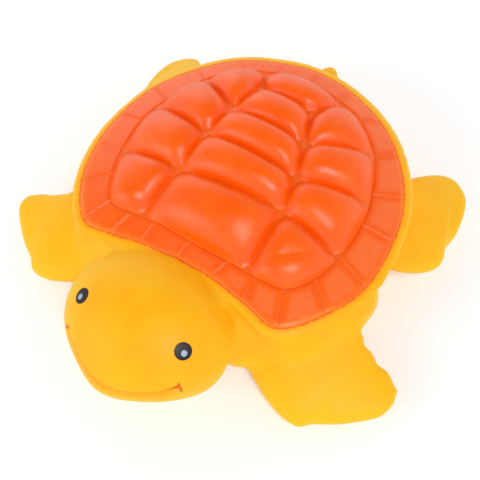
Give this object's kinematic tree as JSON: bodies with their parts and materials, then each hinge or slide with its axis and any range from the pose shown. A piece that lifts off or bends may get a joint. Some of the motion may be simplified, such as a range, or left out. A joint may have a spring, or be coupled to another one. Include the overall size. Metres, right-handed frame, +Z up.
{
  "type": "squeaking bath toy",
  "caption": "Hollow soft vinyl sea turtle bath toy with a painted scute shell that presses in and springs back, and a snap-in squeaker under the belly.",
  "frame": {"origin": "middle of the flat under the belly, under the middle of the shell", "axes": "+Z up out of the shell, -Y towards the nose, +X towards the turtle's left"},
  "size_m": [0.1074, 0.1051, 0.0329],
  "materials": {
    "yellow_vinyl": "satin",
    "orange_paint": "satin",
    "black_paint": "gloss",
    "white_plastic": "satin",
    "reed_film": "satin"
  },
  "bodies": {
    "body": {"belly_skin": "yellow_vinyl", "shell_margin": "orange_paint", "head": "yellow_vinyl", "eye_left": "black_paint", "eye_right": "black_paint", "tail": "yellow_vinyl", "flipper_front_left": "yellow_vinyl", "flipper_front_right": "yellow_vinyl", "flipper_rear_left": "yellow_vinyl", "flipper_rear_right": "yellow_vinyl", "squeaker_housing": "white_plastic", "squeaker_plate": "white_plastic", "squeaker_cap": "white_plastic"},
    "dome": {"shell_dome": "orange_paint"},
    "reed": {"squeaker_reed": "reed_film"}
  },
  "joints": [
    {"name": "squeeze", "type": "slide", "parent": "body", "child": "dome", "axis": [0, 0, -1], "range_m": [0, 0.0065], "stiffness_N_per_m": 1400},
    {"name": "reed_lift", "type": "hinge", "parent": "body", "child": "reed", "pos_m": [0, 0.00705, 0.00428], "axis": [1, 0, 0], "range_deg": [0, 7], "stiffness_Nm_per_rad": 0.0004}
  ]
}
